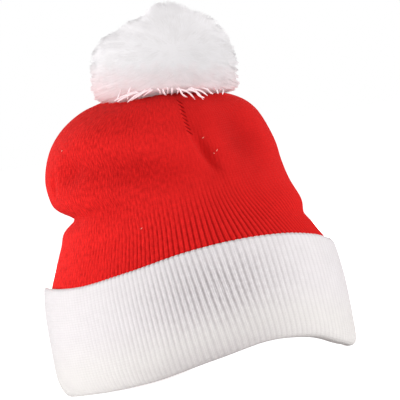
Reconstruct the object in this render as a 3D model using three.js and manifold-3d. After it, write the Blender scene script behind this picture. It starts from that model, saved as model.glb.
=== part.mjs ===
// A knitted bobble hat: a red crown gathered at the top, a white ribbed cuff turned up round it,
// and a white yarn pompom. Millimetres, +Z up. The hat stands on the fold of its cuff, the origin is
// under the middle of that fold, the front faces -Y and +X is the right side seen from the front.
import * as THREE from "three";
import { mergeVertices } from "three/addons/utils/BufferGeometryUtils.js";
import Module from "manifold-3d";

const wasm = await Module();
wasm.setup();

// Driving dimensions
const CUFF_WIDTH = 212;
const CUFF_DEPTH = 170;
const CUFF_HEIGHT = 78;
const KNIT_WALL = 2.5;
const CUFF_WALL = 3.2;
const TURN_UP_SLOT = 2.4;
const PIECE_GAP = 0.35;
const POMPOM_WIDTH = 103;
const POMPOM_RISE = 47.5;
const POMPOM_SAG = 22;

// The knit: raised ribs run up the cuff and fade out on the crown
const RIB_COUNT = 142;
const CUFF_RIB_RELIEF = 1.0;
const CROWN_RIB_RELIEF = 0.9;
const CUFF_TWIST = THREE.MathUtils.degToRad(7.5);

// Mesh fineness: columns round each smooth ring, and two columns (crest, groove) for each rib
const SMOOTH_COLUMNS = 60;
const INNER_COLUMNS = 45;
const RIB_COLUMNS = 2 * RIB_COUNT;

// Angles run round the hat from the right side, through the front at 90, to the left side at 180.
// The cuff's fold and top edge ride up over the front and dip at the sides.
const CUFF_LIFT = [
  { angle: 0, fold: 0, edge: -4 },
  { angle: 8, fold: 0, edge: -2 },
  { angle: 25, fold: 4.6, edge: 3.9 },
  { angle: 45, fold: 13.2, edge: 9.2 },
  { angle: 67, fold: 15.7, edge: 11.2 },
  { angle: 90, fold: 9.6, edge: 8.6 },
  { angle: 112, fold: 2.5, edge: 2.2 },
  { angle: 138, fold: 0, edge: -3 },
  { angle: 180, fold: 0, edge: 0.5 },
  { angle: 222, fold: 0, edge: -5 },
  { angle: 248, fold: 3, edge: 0 },
  { angle: 270, fold: 8, edge: 5 },
  { angle: 293, fold: 13, edge: 8 },
  { angle: 315, fold: 10, edge: 6 },
  { angle: 335, fold: 2, edge: 1 },
  { angle: 350, fold: 0, edge: -2 },
];

// Outer sections of the crown from its lower edge, inside the cuff, to the gathered top.
// left, right, front and back are distances from the axis; the left and right sides have own heights.
const CROWN_SECTIONS = [
  { leftZ: 13, rightZ: 13, left: 100.4, right: 100.4, front: 79.4, back: 79.4 },
  { leftZ: 48, rightZ: 48, left: 100.6, right: 100.4, front: 79.6, back: 79.6 },
  { leftZ: 72, rightZ: 72, left: 98.8, right: 98.3, front: 77.8, back: 78 },
  { leftZ: 86, rightZ: 86, left: 94.2, right: 92.2, front: 75.5, back: 76 },
  { leftZ: 98, rightZ: 98, left: 89.3, right: 88, front: 73.5, back: 74.5 },
  { leftZ: 108, rightZ: 108, left: 85.6, right: 85.8, front: 72.5, back: 74 },
  { leftZ: 122, rightZ: 122, left: 86, right: 80.4, front: 72, back: 74 },
  { leftZ: 136, rightZ: 136, left: 88.7, right: 77.3, front: 72.5, back: 74 },
  { leftZ: 150, rightZ: 150, left: 89.8, right: 75.4, front: 72, back: 73 },
  { leftZ: 164, rightZ: 164, left: 86.8, right: 71, front: 70, back: 70.5 },
  { leftZ: 176, rightZ: 176, left: 80.5, right: 65.2, front: 65, back: 65 },
  { leftZ: 187, rightZ: 185, left: 69.4, right: 55.6, front: 57, back: 57 },
  { leftZ: 195.5, rightZ: 192, left: 52.5, right: 40, front: 43, back: 43 },
  { leftZ: 200, rightZ: 197, left: 29, right: 21, front: 24, back: 24 },
  { leftZ: 201.5, rightZ: 200, left: 9, right: 5, front: 7, back: 7 },
];

// Folds and dents of the slack crown. A fold is centred at an angle and a height, spreads that many
// degrees and millimetres, pushes the wall in by its depth and climbs by so many mm for each degree.
const CROWN_FOLDS = [
  { name: "left_crease", angle: 184, height: 121.5, across: 40, along: 6, depth: 12.5, climb: 0 },
  { name: "lobe_valley", angle: 120, height: 144, across: 34, along: 8, depth: 5.5, climb: 0.3 },
  { name: "right_nick", angle: 2, height: 97, across: 22, along: 6, depth: 2.6, climb: 0 },
  { name: "pleat_hollow", angle: 67, height: 151, across: 7.5, along: 12, depth: 5.5, climb: 1.2 },
  { name: "right_dimple", angle: 36, height: 156, across: 20, along: 24, depth: 8, climb: 0 },
  { name: "back_hollow", angle: 262, height: 150, across: 20, along: 20, depth: 4, climb: 0 },
  { name: "back_crease", angle: 228, height: 118, across: 24, along: 8, depth: 5, climb: 0 },
];

const FOLD_SHARPNESS = 1.6;

// The sewn pleat at the front: the wall turns in at its left edge and comes out again further right.
// The edge's angle and the step's depth are given up its height, the two spreads in degrees.
const PLEAT = [
  { height: 130, angle: 57, depth: 0 },
  { height: 141, angle: 68.4, depth: 1.5 },
  { height: 151, angle: 73.7, depth: 2.5 },
  { height: 161, angle: 76.8, depth: 3 },
  { height: 171, angle: 77.7, depth: 3.2 },
  { height: 184, angle: 77.4, depth: 3 },
  { height: 193, angle: 74.6, depth: 2 },
  { height: 198, angle: 72, depth: 1 },
];
const PLEAT_STEP = 2.6;
const PLEAT_SPREAD = 14;

// The top of the crown is drawn together into pleats that die out down its sides
const GATHER_COUNT = 15;
const GATHER_RELIEF = 1.6;
const GATHER_RADIUS = 34;
const GATHER_FULL = 0.4 * GATHER_RADIUS;
const GATHER_END = 1.6 * GATHER_RADIUS;

// Pompom: a core with blunt yarn locks spread evenly over it, domed above its centre and flatter below,
// rounder at its lower left, and pressed up at the front. It leans to the right, and its upper left side
// is combed down.
const POMPOM_CENTRE = new THREE.Vector3(6.5, -1, 214);
const POMPOM_SAG_POWER = { left: 3, elsewhere: 8 };
const POMPOM_PRESS = 0.26;
const POMPOM_LEAN = THREE.MathUtils.degToRad(6);
const POMPOM_DIP = { direction: new THREE.Vector3(-0.55, 0, 0.83), spread: 0.4, depth: 0.13 };
const LOCK_COUNT = 40;
const LOCK_SIDES = 5;
const LOCK_ROOT_RADIUS = 16;
const LOCK_TIP_RADIUS = 6.5;
const LOCK_ROOT_SHARE = 0.68;
const LOCK_TIP_SPREAD = 0.025;
const LOCK_TIP_WAVE = 2.4;
const CORE_SHARE = 0.84;
const CORE_SEGMENTS = 14;
const CORE_RINGS = 8;

const RED_YARN = new THREE.MeshStandardMaterial({ color: 0xd3161b, roughness: 0.9, metalness: 0 });
const WHITE_YARN = new THREE.MeshStandardMaterial({ color: 0xeeebea, roughness: 0.92, metalness: 0 });
const POMPOM_YARN = new THREE.MeshStandardMaterial({ color: 0xf2efee, roughness: 0.95, metalness: 0 });

const smooth = THREE.MathUtils.smoothstep;
const TURN = 2 * Math.PI;

// Curves through table rows

function catmullRom(a, b, c, d, t) {
  const bend = 2 * a - 5 * b + 4 * c - d + t * (3 * (b - c) + d - a);
  return b + 0.5 * t * (c - a + t * bend);
}

// A column of an open table at a row position such as 2.5, halfway from row 2 to row 3.
function columnAt(rows, column, position) {
  const last = rows.length - 1;
  const i = Math.min(Math.floor(position), last - 1);
  const value = (k) => rows[THREE.MathUtils.clamp(k, 0, last)][column];
  return catmullRom(value(i - 1), value(i), value(i + 1), value(i + 2), position - i);
}

// A column of a table that goes once round the hat, at an angle in radians.
function columnRound(rows, column, angle) {
  const degrees = THREE.MathUtils.euclideanModulo(THREE.MathUtils.radToDeg(angle), 360);
  const count = rows.length;
  const i = rows.findLastIndex((row) => row.angle <= degrees);
  const start = rows[i].angle;
  const end = i + 1 < count ? rows[i + 1].angle : 360;
  const value = (k) => rows[(k + count) % count][column];
  return catmullRom(value(i - 1), value(i), value(i + 1), value(i + 2), (degrees - start) / (end - start));
}

// Closed surfaces from rings of points

// Joins rings of any point counts, each to the next, into one surface. A ring of one point is a tip.
function surfaceThrough(rings, closed) {
  const points = rings.flat();
  const starts = [];
  rings.reduce((sum, ring) => (starts.push(sum), sum + ring.length), 0);
  const triangles = [];
  const strips = closed ? rings.length : rings.length - 1;
  for (let k = 0; k < strips; k++) {
    const next = (k + 1) % rings.length;
    zip(starts[k], rings[k].length, starts[next], rings[next].length, triangles);
  }
  const geometry = new THREE.BufferGeometry().setFromPoints(points);
  geometry.setIndex(triangles);
  geometry.computeVertexNormals();
  return geometry;
}

// Triangles between a ring of n points and a ring of m points, always stepping on the one behind.
function zip(a, n, b, m, triangles) {
  let i = 0;
  let j = 0;
  while (i < n || j < m) {
    const stepA = j === m || (i < n && (i + 1) / n <= (j + 1) / m);
    if (stepA) {
      if (n > 1) triangles.push(a + i, b + (j % m), a + ((i + 1) % n));
      i++;
    } else {
      if (m > 1) triangles.push(a + (i % n), b + j, b + ((j + 1) % m));
      j++;
    }
  }
}

function ringOf(columns, pointAt) {
  return Array.from({ length: columns }, (_, k) => pointAt((TURN * k) / columns, k));
}

// Crown

function foldDepth(angle, height) {
  const degrees = THREE.MathUtils.radToDeg(angle);
  let depth = 0;
  for (const fold of CROWN_FOLDS) {
    const off = THREE.MathUtils.euclideanModulo(degrees - fold.angle + 180, 360) - 180;
    const rise = height - fold.height - fold.climb * off;
    const fading = (off / fold.across) ** 2 + Math.abs(rise / fold.along) ** FOLD_SHARPNESS;
    depth += fold.depth * Math.exp(-fading);
  }
  return depth + pleatDepth(degrees, height);
}

function pleatAt(height, column) {
  const above = PLEAT.findIndex((row) => row.height > height);
  if (above === -1) return PLEAT.at(-1)[column];
  if (above === 0) return PLEAT[0][column];
  const start = PLEAT[above - 1].height;
  return columnAt(PLEAT, column, above - 1 + (height - start) / (PLEAT[above].height - start));
}

function pleatDepth(degrees, height) {
  const past = pleatAt(height, "angle") - (THREE.MathUtils.euclideanModulo(degrees + 90, 360) - 90);
  const beyond = Math.max(past - PLEAT_STEP, 0) / PLEAT_SPREAD;
  return pleatAt(height, "depth") * smooth(past, 0, PLEAT_STEP) * Math.exp(-(beyond ** 2));
}

// How high the cuff's fold rides over the surface that the hat stands on.
function foldLift(angle) {
  return Math.max(0, columnRound(CUFF_LIFT, "fold", angle));
}

// How far the cuff's lift still carries the crown at a height: all of it inside the cuff, none higher up.
const CARRIED_TO = 0.75 * CUFF_HEIGHT;
const FREE_FROM = 1.6 * CUFF_HEIGHT;

function liftShare(height) {
  return 1 - smooth(height, CARRIED_TO, FREE_FROM);
}

// A point of the crown's smooth outer side, with ribs and wall left out. The ridge is 0 on top of a
// gather and 1 between two of them.
function crownPoint(angle, position, ridge = 0.5 + 0.5 * Math.cos(GATHER_COUNT * angle)) {
  const at = (column) => columnAt(CROWN_SECTIONS, column, position);
  const across = Math.cos(angle);
  const deep = Math.sin(angle);
  const x = across * at(across > 0 ? "right" : "left");
  const y = -deep * at(deep > 0 ? "front" : "back");
  let height = (at("leftZ") + at("rightZ")) / 2 + (across * (at("rightZ") - at("leftZ"))) / 2;
  const radius = Math.hypot(x, y);
  const inward = 1 - foldDepth(angle, height) / Math.max(radius, GATHER_RADIUS);
  height -= GATHER_RELIEF * ridge * gatherShare(radius, position);
  height += foldLift(angle) * liftShare(height);
  return new THREE.Vector3(x * inward, y * inward, height);
}

function gatherShare(radius, position) {
  const onTop = position > CROWN_SECTIONS.length / 2 ? 1 : 0;
  return onTop * (1 - smooth(radius, GATHER_FULL, GATHER_END));
}

function crownNormal(angle, position, ridge) {
  const step = 0.01;
  const along = crownPoint(angle, position + step, ridge).sub(crownPoint(angle, position - step, ridge));
  const round = crownPoint(angle + step, position, ridge).sub(crownPoint(angle - step, position, ridge));
  return along.cross(round).normalize();
}

function crownOuter(angle, position, relief = 0) {
  return crownPoint(angle, position).addScaledVector(crownNormal(angle, position), relief);
}

// The inner side is smooth at the top, a wall's thickness below the bottom of the gathers.
function crownInner(angle, position) {
  const ridge = 1;
  return crownPoint(angle, position, ridge).addScaledVector(crownNormal(angle, position, ridge), -KNIT_WALL);
}

// Rings of the crown as positions in its section table, from the lower edge up. Ribs show from just
// below the cuff's top edge to where the slack knit pulls flat.
const CROWN_LOWER_RINGS = [0, 1.3];
const CROWN_RIB_RINGS = [
  { position: 2.6, share: 1 },
  { position: 3.6, share: 0.9 },
  { position: 4.6, share: 0.5 },
];
const CROWN_UPPER_RINGS = [
  5.25, 5.65, 5.97, 6.3, 6.7, 7.3, 7.9, 8.5, 9.2, 9.9, 10.5, 11.1, 11.7, 12.4, 13.1, 14,
];
const CROWN_INNER_RINGS = [14, 12.8, 11.4, 9.9, 9.2, 8.5, 7.9, 7.3, 6.7, 5.97, 5.25, 3, 0];

function makeCrown() {
  const top = CROWN_SECTIONS.length - 1;
  const apex = crownPoint(0, top).add(crownPoint(Math.PI, top)).multiplyScalar(0.5);
  const smoothRing = (position) => ringOf(SMOOTH_COLUMNS, (angle) => crownOuter(angle, position));
  const ribRing = ({ position, share }) =>
    ringOf(RIB_COLUMNS, (angle, k) =>
      crownOuter(angle, position, share * CROWN_RIB_RELIEF * (k % 2 ? -0.5 : 0.5)),
    );
  const innerRing = (position) => ringOf(INNER_COLUMNS, (angle) => crownInner(angle, position));
  return surfaceThrough([
    [apex.clone().setZ(apex.z - GATHER_RELIEF - KNIT_WALL)],
    ...CROWN_INNER_RINGS.map(innerRing),
    ...CROWN_LOWER_RINGS.map(smoothRing),
    ...CROWN_RIB_RINGS.map(ribRing),
    ...CROWN_UPPER_RINGS.map(smoothRing),
    [apex],
  ]);
}

// Cuff

// The cuff's section, from its fold up the outside, over the top edge, down inside the turn-up and up
// the short inner lip that the crown is knitted on to. left and right are insets from the widest
// outline: the fold is rounder at the left, and the top edge leans in further at the right.
const LIP_INSET = CUFF_WALL + TURN_UP_SLOT;
const CUFF_INSET = LIP_INSET + KNIT_WALL;
const LIP_TOP = CROWN_SECTIONS[0].leftZ - PIECE_GAP;
const CUFF_PROFILE = [
  { left: 6.2, right: 4.8, height: 0, ribs: 0.3 },
  { left: 2.9, right: 0.9, height: 5, ribs: 1 },
  { left: 0, right: 0, height: 0.3 * CUFF_HEIGHT, ribs: 1 },
  { left: 1.8, right: 2.8, height: CUFF_HEIGHT - 5, ribs: 1 },
  { left: 3.6, right: 4.6, height: CUFF_HEIGHT, ribs: 0.6 },
  { left: 6, right: 6.2, height: CUFF_HEIGHT - 2, ribs: 0 },
  { left: CUFF_WALL + 0.6, right: CUFF_WALL + 0.8, height: 0.78 * CUFF_HEIGHT, ribs: 0 },
  { left: CUFF_WALL, right: CUFF_WALL, height: 0.35 * CUFF_HEIGHT, ribs: 0 },
  { left: CUFF_WALL + 1.4, right: CUFF_WALL + 1, height: 4.6, ribs: 0 },
  { left: LIP_INSET - 0.2, right: LIP_INSET - 0.2, height: 4.6, ribs: 0 },
  { left: LIP_INSET, right: LIP_INSET, height: LIP_TOP, ribs: 0 },
  { left: CUFF_INSET, right: CUFF_INSET, height: LIP_TOP, ribs: 0 },
  { left: CUFF_INSET, right: CUFF_INSET, height: 3, ribs: 0 },
  { left: CUFF_INSET - 0.2, right: CUFF_INSET - 0.9, height: 0, ribs: 0 },
];

function cuffPoint(angle, row, relief) {
  const share = row.height / CUFF_HEIGHT;
  const fold = foldLift(angle);
  const edge = columnRound(CUFF_LIFT, "edge", angle);
  const inset = (row.left + row.right + (row.right - row.left) * Math.cos(angle)) / 2 - relief;
  const turned = angle + CUFF_TWIST * (share - 0.5) * (row.ribs > 0 ? 1 : 0);
  return new THREE.Vector3(
    (CUFF_WIDTH / 2 - inset) * Math.cos(turned),
    -(CUFF_DEPTH / 2 - inset) * Math.sin(turned),
    row.height + fold + (edge - fold) * smooth(row.height, LIP_TOP, CUFF_HEIGHT),
  );
}

function makeCuff() {
  const ring = (row) => {
    if (row.ribs === 0) return ringOf(SMOOTH_COLUMNS, (angle) => cuffPoint(angle, row, 0));
    const relief = row.ribs * CUFF_RIB_RELIEF;
    return ringOf(RIB_COLUMNS, (angle, k) => cuffPoint(angle, row, k % 2 ? -relief : 0));
  };
  return surfaceThrough(CUFF_PROFILE.map(ring), true);
}

// Pompom

function solidOf(geometry) {
  const bare = geometry.clone();
  bare.deleteAttribute("normal");
  bare.deleteAttribute("uv");
  const merged = mergeVertices(bare, 1e-4);
  return new wasm.Manifold(
    new wasm.Mesh({
      numProp: 3,
      vertProperties: merged.attributes.position.array,
      triVerts: new Uint32Array(merged.index.array),
    }),
  );
}

function geometryOf(solid) {
  const { vertProperties, triVerts } = solid.getMesh();
  const geometry = new THREE.BufferGeometry();
  geometry.setAttribute("position", new THREE.BufferAttribute(vertProperties, 3));
  geometry.setIndex(new THREE.BufferAttribute(triVerts, 1));
  geometry.computeVertexNormals();
  return geometry;
}

// Directions spread evenly over a ball, from the top down to the given lowest height.
function spreadDirections(count, lowest) {
  const goldenAngle = Math.PI * (3 - Math.sqrt(5));
  return Array.from({ length: count }, (_, k) => {
    const z = 1 - ((1 - lowest) * (k + 0.5)) / count;
    const across = Math.sqrt(1 - z * z);
    return new THREE.Vector3(across * Math.cos(k * goldenAngle), across * Math.sin(k * goldenAngle), z);
  });
}

// A point of the pompom in a direction from its centre, at a share of the way out to its outline.
function pompomPoint(direction, share) {
  const away = direction.distanceTo(POMPOM_DIP.direction) / POMPOM_DIP.spread;
  const reach = share * (1 - POMPOM_DIP.depth * Math.exp(-(away ** 2)));
  const side = new THREE.Vector3(direction.x, direction.y, 0).normalize();
  const power = THREE.MathUtils.lerp(
    POMPOM_SAG_POWER.elsewhere, POMPOM_SAG_POWER.left, Math.max(0, -side.x) ** 2,
  );
  const roundness = direction.z > 0 ? 2 : power;
  const across = (1 - Math.min(1, Math.abs(direction.z)) ** roundness) ** (1 / roundness);
  const sag = POMPOM_SAG * (1 - POMPOM_PRESS * Math.max(0, -side.y) ** 4);
  const height = direction.z > 0 ? POMPOM_RISE : sag;
  return side
    .multiplyScalar((across * POMPOM_WIDTH) / 2)
    .setZ(direction.z * height)
    .multiplyScalar(reach)
    .applyAxisAngle(new THREE.Vector3(0, 1, 0), POMPOM_LEAN)
    .add(POMPOM_CENTRE);
}

function makeCore() {
  const core = new THREE.SphereGeometry(1, CORE_SEGMENTS, CORE_RINGS).rotateX(Math.PI / 2);
  const places = core.attributes.position;
  for (let k = 0; k < places.count; k++) {
    const point = pompomPoint(new THREE.Vector3().fromBufferAttribute(places, k), CORE_SHARE);
    places.setXYZ(k, ...point.toArray());
  }
  return core;
}

// One blunt lock whose root is sunk in the core and whose tip reaches the pompom's outline.
function makeLock(direction, k) {
  const root = pompomPoint(direction, LOCK_ROOT_SHARE);
  const tip = pompomPoint(direction, 1 + LOCK_TIP_SPREAD * Math.sin(LOCK_TIP_WAVE * k));
  const outward = tip.clone().sub(root);
  const length = outward.length();
  const turn = new THREE.Quaternion().setFromUnitVectors(new THREE.Vector3(0, 1, 0), outward.normalize());
  return new THREE.CylinderGeometry(LOCK_TIP_RADIUS, LOCK_ROOT_RADIUS, length, LOCK_SIDES)
    .translate(0, length / 2, 0)
    .applyQuaternion(turn)
    .translate(...root.toArray());
}

// The top of the crown as a plain solid that stands a little proud of it, to seat the pompom on.
const SEAT_COLUMNS = 30;
const SEAT_RINGS = [9.2, 10.5, 11.1, 11.7, 12.4, 13.1, 14];
const SEAT_PROUD = 0.9;

function makeSeatForm() {
  const rings = SEAT_RINGS.map((position) =>
    ringOf(SEAT_COLUMNS, (angle) => crownOuter(angle, position, SEAT_PROUD)),
  );
  const base = new THREE.Vector3(0, 0, rings[0][0].z);
  const peak = rings.at(-1).reduce((sum, p) => sum.add(p), new THREE.Vector3()).divideScalar(SEAT_COLUMNS);
  return surfaceThrough([[base], ...rings, [peak]]);
}

const LOWEST_LOCK = -0.8;

function makePompom() {
  const locks = spreadDirections(LOCK_COUNT, LOWEST_LOCK).map((d, k) => solidOf(makeLock(d, k)));
  const ball = locks.reduce((joined, lock) => joined.add(lock), solidOf(makeCore()));
  return geometryOf(ball.subtract(solidOf(makeSeatForm())));
}

function piece(name, geometry, material) {
  const mesh = new THREE.Mesh(geometry, material);
  mesh.name = name;
  return mesh;
}

const hat = new THREE.Group();
hat.name = "bobble_hat";
hat.add(
  piece("crown", makeCrown(), RED_YARN),
  piece("cuff", makeCuff(), WHITE_YARN),
  piece("pompom", makePompom(), POMPOM_YARN),
);

export default hat;
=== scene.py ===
# %% [markdown]
# # A knitted bobble hat
# The hat is a red rib-knit bag with a white turn-up and a white yarn pompom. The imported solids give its
# size and place. This lesson dresses them: every piece is built again with its ribs, stitches and loose
# yarn, in the same frame, and then the hat is lit and looked at from the front.
# Sizes in the tables are millimetres, because a knitter thinks in them. Blender works in metres, so each
# mesh is scaled down once, where it is made.

# %% Load the solids
import math

import bpy
import numpy as np
from mathutils import Matrix, Vector


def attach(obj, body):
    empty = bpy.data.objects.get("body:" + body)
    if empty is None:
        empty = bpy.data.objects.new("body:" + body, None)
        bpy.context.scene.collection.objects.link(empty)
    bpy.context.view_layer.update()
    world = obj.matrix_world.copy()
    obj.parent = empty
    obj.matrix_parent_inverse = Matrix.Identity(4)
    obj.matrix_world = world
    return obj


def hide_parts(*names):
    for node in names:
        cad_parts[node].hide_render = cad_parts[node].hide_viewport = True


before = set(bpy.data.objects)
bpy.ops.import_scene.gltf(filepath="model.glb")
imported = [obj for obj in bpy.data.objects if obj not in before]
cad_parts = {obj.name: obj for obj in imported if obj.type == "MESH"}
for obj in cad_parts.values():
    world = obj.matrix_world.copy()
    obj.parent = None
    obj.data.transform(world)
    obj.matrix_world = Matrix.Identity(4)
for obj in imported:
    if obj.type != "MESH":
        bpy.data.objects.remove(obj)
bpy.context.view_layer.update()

# %% [markdown]
# ## Camera
# The hat was photographed from straight in front, with a long lens, and a little twisted in the picture.
# A lens could be guessed by eye, but here it follows from two plain facts: how far away the camera
# stands and how wide a strip of the world the square picture covers at the hat.

# %% Camera
CAMERA_DISTANCE = 6.0
CAMERA_CLIMB = math.radians(1.2)
CAMERA_ROLL = math.radians(10.4)
CAMERA_SEES_TO = 40
PICTURE_WIDTH = 0.280
LOOK_AT = Vector((0.0153, 0.0, 0.1189))

view_forward = Vector((0, math.cos(CAMERA_CLIMB), -math.sin(CAMERA_CLIMB)))
view_up = Vector((0, math.sin(CAMERA_CLIMB), math.cos(CAMERA_CLIMB)))
view_right = Vector((1, 0, 0))
picture_right = math.cos(CAMERA_ROLL) * view_right - math.sin(CAMERA_ROLL) * view_up
picture_up = math.sin(CAMERA_ROLL) * view_right + math.cos(CAMERA_ROLL) * view_up

camera_data = bpy.data.cameras.new("camera")
camera_data.lens = camera_data.sensor_width * CAMERA_DISTANCE / PICTURE_WIDTH
camera_data.clip_end = CAMERA_SEES_TO
camera = bpy.data.objects.new("camera", camera_data)
turn = Matrix((picture_right, picture_up, -view_forward)).transposed().to_4x4()
camera.matrix_world = Matrix.Translation(LOOK_AT - CAMERA_DISTANCE * view_forward) @ turn
scene = bpy.context.scene
scene.collection.objects.link(camera)
scene.camera = camera
print("lens:", round(camera_data.lens), "mm")

# %% [markdown]
# ## Floor and sky
# A product picture on white needs a floor that comes out as white as the sky behind it, or a horizon
# line shows. A curved paper sweep lit by its own lamps would do it. Here floor and sky simply glow: one
# strength is what the camera sees, and a lower one is the light that they give the hat.

# %% Floor and sky
FLOOR_HALF = 12.0
FLOOR_SEEN, FLOOR_LIGHT = 1.02, 0.27
SKY_SEEN, SKY_LIGHT = 1.0, 0.28
PURE_WHITE = (1, 1, 1, 1)
PAPER_SHADING = {
    "Base Color": (0.5, 0.5, 0.5, 1),
    "Roughness": 1.0,
    "Specular IOR Level": 0.0,
    "Emission Color": PURE_WHITE,
}

scene.view_settings.view_transform = "Standard"


def new_material(name, shading):
    """A material with constants set on its shader. Gives the material, its node tree and the shader."""
    material = bpy.data.materials.new(name)
    material.use_nodes = True
    shader = material.node_tree.nodes["Principled BSDF"]
    for key, value in shading.items():
        shader.inputs[key].default_value = value
    return material, material.node_tree, shader


def glow_strength(tree, seen, light):
    """One strength for what the camera sees, another for the light that reaches the hat."""
    path = tree.nodes.new("ShaderNodeLightPath")
    strength = tree.nodes.new("ShaderNodeMapRange")
    strength.inputs["To Min"].default_value = light
    strength.inputs["To Max"].default_value = seen
    tree.links.new(path.outputs["Is Camera Ray"], strength.inputs["Value"])
    return strength.outputs["Result"]


def make_floor():
    paper, tree, shader = new_material("white_paper", PAPER_SHADING)
    tree.links.new(glow_strength(tree, FLOOR_SEEN, FLOOR_LIGHT), shader.inputs["Emission Strength"])
    mesh = bpy.data.meshes.new("floor")
    corners = [(-1, -1), (1, -1), (1, 1), (-1, 1)]
    mesh.from_pydata([(x * FLOOR_HALF, y * FLOOR_HALF, 0) for x, y in corners], [], [(0, 1, 2, 3)])
    mesh.materials.append(paper)
    floor = bpy.data.objects.new("floor", mesh)
    scene.collection.objects.link(floor)


def make_sky():
    world = bpy.data.worlds.new("white_sky")
    world.use_nodes = True
    tree = world.node_tree
    background = tree.nodes["Background"]
    background.inputs["Color"].default_value = PURE_WHITE
    tree.links.new(glow_strength(tree, SKY_SEEN, SKY_LIGHT), background.inputs["Strength"])
    scene.world = world


make_floor()
make_sky()
print("floor and sky, as the camera sees them:", FLOOR_SEEN, SKY_SEEN)

# %% [markdown]
# ## Lamps
# A photographer would use softboxes, and Blender's area lamps are just that. A large one stands at each
# side, so that the ends of the cuff are bright and its ribs throw small shadows. A weaker one stands in
# front, and one behind on the left brightens that rim. The last one is for looks from behind.

# %% Lamps
LAMPS = [
    # name, place, size across, power in watts
    ("left_lamp", (-3.0, -1.0, 0.3), 1.6, 98),
    ("right_lamp", (3.0, -0.8, 0.2), 1.6, 97),
    ("front_lamp", (-0.4, -3.4, 0.4), 1.4, 41),
    ("back_left_lamp", (-2.4, 2.6, 1.4), 1.6, 52),
    ("back_lamp", (0.3, 3.4, 0.8), 1.4, 45),
]


def make_lamp(name, place, across, power):
    data = bpy.data.lights.new(name, "AREA")
    data.size = across
    data.energy = power
    lamp = bpy.data.objects.new(name, data)
    lamp.location = place
    lamp.rotation_euler = (LOOK_AT - Vector(place)).to_track_quat("-Z", "Y").to_euler()
    scene.collection.objects.link(lamp)
    return lamp


lamps = {row[0]: make_lamp(*row) for row in LAMPS}
print("lamps:", list(lamps))

# %% [markdown]
# ## Curves through short tables
# A hat is easiest to describe by a few measured sections with a smooth line drawn through them. A spline
# object could hold that line, but the same weights are needed for thousands of points at once, so the
# curve is written as a small formula that takes whole arrays.

# %% Curves through short tables


def curve_between(a, b, c, d, t):
    """A smooth curve from b, at t = 0, to c, at t = 1; a comes before them and d after."""
    bend = 2 * a - 5 * b + 4 * c - d + t * (3 * (b - c) + d - a)
    return b + 0.5 * t * (c - a + t * bend)


def up_the_column(values, position):
    """A column of an open table at row positions such as 2.5, halfway from row 2 to row 3."""
    last = len(values) - 1
    i = np.clip(np.floor(position).astype(int), 0, last - 1)
    before, start, end, after = (values[np.clip(i + k, 0, last)] for k in (-1, 0, 1, 2))
    return curve_between(before, start, end, after, position - i)


def round_the_column(stops, values, degrees):
    """A column of a table that goes once round the hat, at angles in degrees."""
    degrees = np.mod(degrees, 360)
    i = np.searchsorted(stops, degrees, side="right") - 1
    ends = np.append(stops, 360)
    t = (degrees - ends[i]) / (ends[i + 1] - ends[i])
    before, start, end, after = (values[(i + k) % len(values)] for k in (-1, 0, 1, 2))
    return curve_between(before, start, end, after, t)


def ease(value, low, high):
    """0 below low, 1 above high, and an S-shaped step between them."""
    t = np.clip((value - low) / (high - low), 0, 1)
    return t * t * (3 - 2 * t)


def bell(value, middle, across):
    """1 at the middle, and less and less on both sides of it."""
    return np.exp(-(((value - middle) / across) ** 2))


print("halfway between 1 and 2:", up_the_column(np.array([0.0, 1.0, 2.0, 3.0]), np.array(1.5)))

# %% [markdown]
# ## The way the cuff rides up
# The cuff isn't level: its fold and its top edge both arch over the front right and dip at the sides.
# A lattice could bend a level cuff. A table of lifts is used instead, because the crown's lower edge and
# its ribs have to ride up with it. Angles run round the hat from the right side, through the front at 90,
# to the left side at 180.

# %% The way the cuff rides up
CUFF_LIFT = np.array([
    # angle, fold, edge
    (0, 0, -4),
    (8, 0, -2),
    (25, 4.6, 3.9),
    (45, 13.2, 9.2),
    (67, 15.7, 11.2),
    (90, 9.6, 8.6),
    (112, 2.5, 2.8),
    (138, 0, -2.2),
    (180, 0, 0),
    (198, 0, -3.8),
    (222, 0, -5),
    (248, 3, 0),
    (270, 8, 5),
    (293, 13, 8),
    (315, 10, 6),
    (335, 2, 1),
    (350, 0, -2),
])
LIFT_ANGLES, FOLD_LIFTS, EDGE_LIFTS = CUFF_LIFT.T


def fold_lift(degrees):
    return np.maximum(0, round_the_column(LIFT_ANGLES, FOLD_LIFTS, degrees))


def edge_lift(degrees):
    return round_the_column(LIFT_ANGLES, EDGE_LIFTS, degrees)


print("highest fold:", round(float(fold_lift(np.arange(360.0)).max()), 1), "mm")

# %% [markdown]
# ## Folds of the slack crown
# The red bag slumps: its left side bulges over a crease, and the front has a valley, a sewn pleat and two
# dimples. Sculpting would do it by hand. Here each fold is one row that pushes the wall in around an angle
# and a height, so that the shape can be read and changed. The pleat is steep on one side only, so it has a
# table of its own.

# %% Folds of the slack crown
CROWN_FOLDS = [
    # angle, height, across in degrees, along in mm, depth, climb in mm a degree
    (184, 121.5, 40, 6, 12.5, 0),        # the crease under the left lobe
    (114, 149, 38, 13, 8, 0.28),         # the valley across the lobe
    (96, 146, 18, 10, 3.5, 0.25),        # its deeper right end
    (105, 182, 40, 8, 2.5, 0.2),         # a shallow one above it
    (147, 153, 10, 9, 5, 0),             # a dent at its left end
    (122, 126, 16, 7, 3.5, 0),           # the crease dying out on the front
    (2, 97, 22, 6, 2.6, 0),              # the nick in the right side
    (68.4, 149.8, 6.2, 11, 5, 2.1),      # the hollow beside the sewn pleat
    (36, 158, 23, 31, 12.5, 0),          # the broad dimple on the right
    (161.5, 147, 2.5, 8, 2, 0),          # a short crease near the left edge
    (262, 150, 20, 20, 4, 0),            # a soft hollow at the back
    (228, 118, 24, 8, 5, 0),             # the crease carried on to the back
]
FOLD_SHARPNESS = 1.6
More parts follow.
